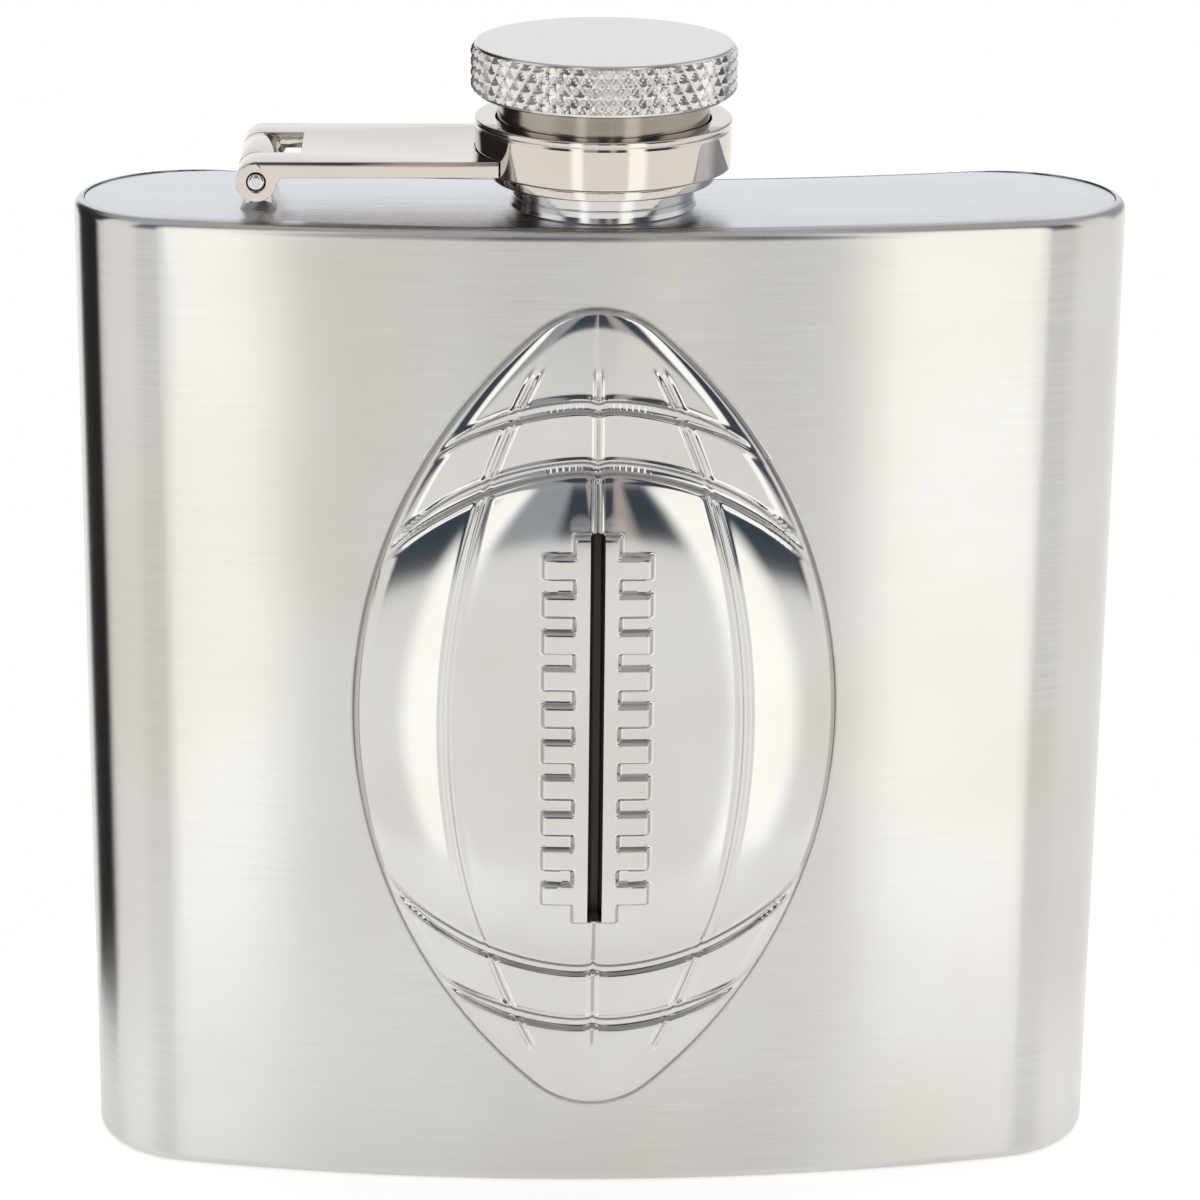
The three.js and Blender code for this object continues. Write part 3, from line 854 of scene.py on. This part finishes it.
def steel(name, light, dark, polish, grain, grain_scale, lines, anisotropy=0.0):
    """Bare metal: fine grain along one direction, cloudy tone and gloss, and a faint bump.

    polish is (smoothest, roughest), and grain is how much the grain changes it. grain_scale stretches the
    grain's noise along each axis, and lines is the strength of its bump. Anisotropic metal draws its
    reflections out along +Z.
    """
    material = bpy.data.materials.new(name)
    material.use_nodes = True
    nodes = Nodes(material.node_tree)
    shader = material.node_tree.nodes["Principled BSDF"]
    place = nodes.position()
    hairs = nodes.noise(nodes.stretch(place, grain_scale), 1.0, 4.0, 0.7)
    clouds = nodes.noise(place, 60.0, 3.0)
    tone = nodes.mix(nodes.spread(clouds, 0.0, 1.0), rgba(*dark), rgba(*light))
    shader.inputs["Metallic"].default_value = 1.0
    nodes.link(tone, shader.inputs["Base Color"])
    base_gloss = nodes.spread(clouds, polish[0], polish[1])
    nodes.link(nodes.math("ADD", base_gloss, nodes.spread(hairs, -grain, grain)), shader.inputs["Roughness"])
    nodes.link(nodes.bump(hairs, lines, 0.00002), shader.inputs["Normal"])
    if anisotropy:
        shader.inputs["Anisotropic"].default_value = anisotropy
        shader.inputs["Anisotropic Rotation"].default_value = QUARTER_TURN
        tangent = nodes.add("ShaderNodeTangent", direction_type="RADIAL", axis="Z")
        nodes.link(tangent.outputs["Tangent"], shader.inputs["Tangent"])
    return material, nodes, shader


POLISHED = 0.09  # roughness of the pressed football
SHADE_ROUGHENS = 0.25  # what the painted shade adds to the roughness
# the dark colour painted into the slot and corners as shade
SHADE_COLOUR = (0.055, 0.048, 0.04)
SMUDGE = (0.61, 0.575, 0.535)


def brushed_steel():
    """The sleeve: brushed all round, polished on the football, and with painted shade in its slot and
    corners.
    """
    material, nodes, shader = steel("brushed_sleeve_steel", (0.66, 0.65, 0.625), (0.63, 0.615, 0.59),
                                    (0.19, 0.22), 0.02, (90.0, 90.0, 5200.0), anisotropy=1.0, lines=0.03)
    polish = nodes.add("ShaderNodeAttribute", attribute_name="polish").outputs["Fac"]
    shade_layer = nodes.add("ShaderNodeAttribute", attribute_name="shade_layer").outputs["Fac"]
    brushed = shader.inputs["Roughness"].links[0].from_socket
    gloss = nodes.math("MULTIPLY_ADD", polish, nodes.math("SUBTRACT", POLISHED, brushed), brushed)
    nodes.link(nodes.math("MULTIPLY_ADD", shade_layer, SHADE_ROUGHENS, gloss), shader.inputs["Roughness"])
    bare_tone = shader.inputs["Base Color"].links[0].from_socket
    smudges = nodes.spread(nodes.noise(nodes.position(), 24.0, 2.0), 0.0, 0.8, 0.5, 0.68)
    bare_tone = nodes.mix(smudges, bare_tone, rgba(*SMUDGE))
    # painted shade: the base colour darkens in the slot, the corners and the rim's inside
    nodes.link(nodes.mix(shade_layer, bare_tone, rgba(*SHADE_COLOUR)), shader.inputs["Base Color"])
    return material


def silicone():
    """Soft, cloudy and matte, with a fine bump."""
    material = bpy.data.materials.new("soft_silicone")
    material.use_nodes = True
    nodes = Nodes(material.node_tree)
    shader = material.node_tree.nodes["Principled BSDF"]
    place = nodes.position()
    clouds = nodes.noise(place, 300.0, 3.0)
    nodes.link(nodes.mix(clouds, rgba(0.74, 0.73, 0.68), rgba(0.82, 0.81, 0.77)), shader.inputs["Base Color"])
    nodes.link(nodes.spread(clouds, 0.5, 0.65), shader.inputs["Roughness"])
    nodes.link(nodes.bump(nodes.noise(place, 4000.0, 2.0), 0.15, 0.00003), shader.inputs["Normal"])
    return material


# ---------- studio ----------
def ramp(nodes, value, stops):
    """A colour ramp over 0 to 1, from (place, colour) stops."""
    node = nodes.add("ShaderNodeValToRGB")
    nodes.link(value, node.inputs["Fac"])
    elements = node.color_ramp.elements
    elements[0].position, elements[0].color = stops[0][0], rgba(*stops[0][1])
    elements[1].position, elements[1].color = stops[-1][0], rgba(*stops[-1][1])
    for place, colour in stops[1:-1]:
        elements.new(place).color = rgba(*colour)
    return node.outputs["Color"]


WHITE = (1.0, 1.0, 1.0)
TABLE = (1.06, 1.05, 1.03)  # the lit table top beyond the modelled one
CEILING = (0.52, 0.51, 0.53)
NIGHT = (0.055, 0.075, 0.1)  # the dark room
DUSK = (0.42, 0.45, 0.49)  # its lit parts
BLUSH = (0.55, 0.48, 0.46)  # something warm in it
SOFTBOX = (1.5, 1.5, 1.47)
SIDE = (1.0, 1.0, 1.01)  # white screens at the sides
BACK = (1.0, 1.01, 1.03)  # and behind
FLAG = (0.03, 0.028, 0.03)  # a black card, on the left and a little behind

HORIZON = (-4, 1)  # degrees of elevation over which the table gives way to the room
OVERHEAD = (34, 46)  # and the room to the ceiling

# Colours round the flask, by degrees from straight in front of it; the photo's left is negative.
ABOVE_TABLE = (
    (-180, BACK), (-158, BACK), (-148, FLAG), (-97, FLAG), (-88, SIDE), (-60, SIDE), (-50, NIGHT),
    (-34, NIGHT), (-29, SOFTBOX), (-22, SOFTBOX), (-19, DUSK), (-8, DUSK), (-6, NIGHT), (3, NIGHT),
    (5, BLUSH), (9, BLUSH), (11, NIGHT), (18, NIGHT), (22, SOFTBOX), (34, SOFTBOX), (39, NIGHT),
    (60, NIGHT), (72, SIDE), (105, SIDE), (120, DUSK), (150, DUSK), (165, BACK), (180, BACK),
)
ROUND_TABLE = (
    (-180, TABLE), (-144, TABLE), (-139, FLAG), (-105, FLAG), (-99, TABLE), (-33, TABLE), (-28, SOFTBOX),
    (-22, SOFTBOX), (-19, TABLE), (19.5, TABLE), (22.5, SOFTBOX), (34, SOFTBOX), (40, TABLE), (180, TABLE),
)


def studio():
    """The surroundings: white to the camera and as plain light, a photographer's room in reflections.

    The room has two softboxes, white screens, a black card, a bright table all round and a grey ceiling.
    """
    world = bpy.data.worlds.new("studio")
    bpy.context.scene.world = world
    world.use_nodes = True
    world.node_tree.nodes.clear()
    nodes = Nodes(world.node_tree)
    direction = nodes.add("ShaderNodeTexCoord").outputs["Generated"]
    parts = nodes.add("ShaderNodeSeparateXYZ")
    nodes.link(direction, parts.inputs[0])
    back = nodes.math("MULTIPLY", parts.outputs["Y"], -1.0)
    azimuth = nodes.math("ARCTAN2", parts.outputs["X"], back)
    turn = nodes.math("MULTIPLY_ADD", azimuth, 1 / (2 * math.pi), 0.5)
    elevation = nodes.math("ARCSINE", parts.outputs["Z"])
    above = ramp(nodes, turn, [((degrees + 180) / 360, colour) for degrees, colour in ABOVE_TABLE])
    beside = ramp(nodes, turn, [((degrees + 180) / 360, colour) for degrees, colour in ROUND_TABLE])
    risen = nodes.spread(elevation, 0.0, 1.0, *map(math.radians, HORIZON))
    overhead = nodes.spread(elevation, 0.0, 1.0, *map(math.radians, OVERHEAD))
    colour = nodes.mix(overhead, nodes.mix(risen, beside, above), rgba(*CEILING))
    path = nodes.add("ShaderNodeLightPath")
    plain = nodes.math("MAXIMUM", path.outputs["Is Camera Ray"], path.outputs["Is Diffuse Ray"])
    surround = nodes.add("ShaderNodeBackground")
    nodes.link(nodes.mix(plain, colour, rgba(*WHITE)), surround.inputs["Color"])
    output = nodes.add("ShaderNodeOutputWorld")
    nodes.link(surround.outputs[0], output.inputs["Surface"])


TABLE_REACH, TABLE_THICKNESS, TABLE_BEVEL = 75.0, 4.0, 2.0
TABLE_GLOW = 0.42


def floor():
    """A white table top, lit evenly, that still shows a faint contact shadow."""
    edge = [(TABLE_REACH, -TABLE_THICKNESS), (TABLE_REACH + TABLE_BEVEL, -TABLE_BEVEL), (TABLE_REACH, 0)]
    points, faces = turned([(0, -TABLE_THICKNESS)] + edge + [(0, 0)], 96)
    mesh = bpy.data.meshes.new("table")
    mesh.from_pydata((points * MM).tolist(), [], faces)
    face_out(mesh)
    table = bpy.data.objects.new("table", mesh)
    bpy.context.collection.objects.link(table)
    material = bpy.data.materials.new("white_table")
    material.use_nodes = True
    nodes = Nodes(material.node_tree)
    shader = material.node_tree.nodes["Principled BSDF"]
    clouds = nodes.noise(nodes.position(), 8.0, 2.0)
    nodes.link(nodes.mix(clouds, rgba(0.84, 0.84, 0.84), rgba(0.86, 0.86, 0.86)), shader.inputs["Base Color"])
    shader.inputs["Roughness"].default_value = 0.3
    shader.inputs["Specular IOR Level"].default_value = 0.5
    shader.inputs["Emission Color"].default_value = rgba(*WHITE)
    shader.inputs["Emission Strength"].default_value = TABLE_GLOW
    mesh.materials.append(material)


CAMERA_PLACE = (-13.06, -351.8, 175.55)
CAMERA_PITCH, CAMERA_YAW, CAMERA_ROLL = 0.30508, -0.02682, 0.00761  # radians
CAMERA_LENS = 121.1
CAMERA_SHIFT = (0.0333, -0.0917)


def camera():
    """In front, a little to the left and above, as far off as a product photographer stands."""
    position = np.array(CAMERA_PLACE)
    pitch, yaw, roll = CAMERA_PITCH, CAMERA_YAW, CAMERA_ROLL
    level = np.array([math.cos(yaw), math.sin(yaw), 0])
    ahead = np.array([-math.sin(yaw), math.cos(yaw), 0])
    forward = ahead * math.cos(pitch) - np.array([0, 0, math.sin(pitch)])
    upward = ahead * math.sin(pitch) + np.array([0, 0, math.cos(pitch)])
    right = level * math.cos(roll) + upward * math.sin(roll)
    top = upward * math.cos(roll) - level * math.sin(roll)
    data = bpy.data.cameras.new("camera")
    data.sensor_width = 36.0
    data.lens = CAMERA_LENS
    data.shift_x, data.shift_y = CAMERA_SHIFT
    data.clip_start, data.clip_end = 0.01, 10.0
    eye = bpy.data.objects.new("camera", data)
    bpy.context.collection.objects.link(eye)
    turned_to = Matrix((right, top, -forward)).transposed().to_4x4()
    eye.matrix_world = Matrix.Translation(Vector(position * MM)) @ turned_to
    bpy.context.scene.camera = eye


# ---------- assembly ----------
camera()
studio()
floor()
bpy.context.scene.view_settings.view_transform = "Standard"

plate_steel = steel("satin_plate_steel", (0.66, 0.68, 0.71), (0.64, 0.66, 0.69), (0.24, 0.28), 0.03,
                    (90.0, 2600.0, 90.0), lines=0.004)[0]
turned_steel = steel("turned_spout_steel", (0.66, 0.65, 0.64), (0.60, 0.59, 0.58), (0.10, 0.16), 0.03,
                     (60.0, 60.0, 3000.0), lines=0.04)[0]
nickel = steel("polished_nickel", (0.66, 0.61, 0.565), (0.64, 0.59, 0.54), (0.04, 0.07), 0.01,
               (400.0, 400.0, 900.0), lines=0.02)[0]
# a darker steel for the shank: painted shade in the gap under the cap's head
shank_shade_steel = steel("painted_shade_shank_steel", (0.38, 0.34, 0.30), (0.26, 0.23, 0.19), (0.08, 0.16), 0.03,
                   (60.0, 60.0, 3000.0), lines=0.04)[0]
cap_nickel = steel("satin_cap_nickel", (0.70, 0.68, 0.66), (0.66, 0.64, 0.62), (0.16, 0.24), 0.03,
                   (1500.0, 1500.0, 1500.0), lines=0.04)[0]

body_sleeve(brushed_steel())
end_plate("crowned_top_plate", "top_plate", TOP - PLATE, TOP, SPOUT_HIGH[0] - 0.9, CROWN, plate_steel)
end_plate("flat_bottom_plate", "bottom_plate", PLATE, 0.0, 0.0, 0.0, plate_steel)
neck_spout(turned_steel)
threaded_insert(nickel, shank_shade_steel)
sealing_washer(silicone())
collar_ring(nickel)
cap_head(cap_nickel)
hinge_arm(nickel)
hinge_post(nickel)
hinge_pin(turned_steel)
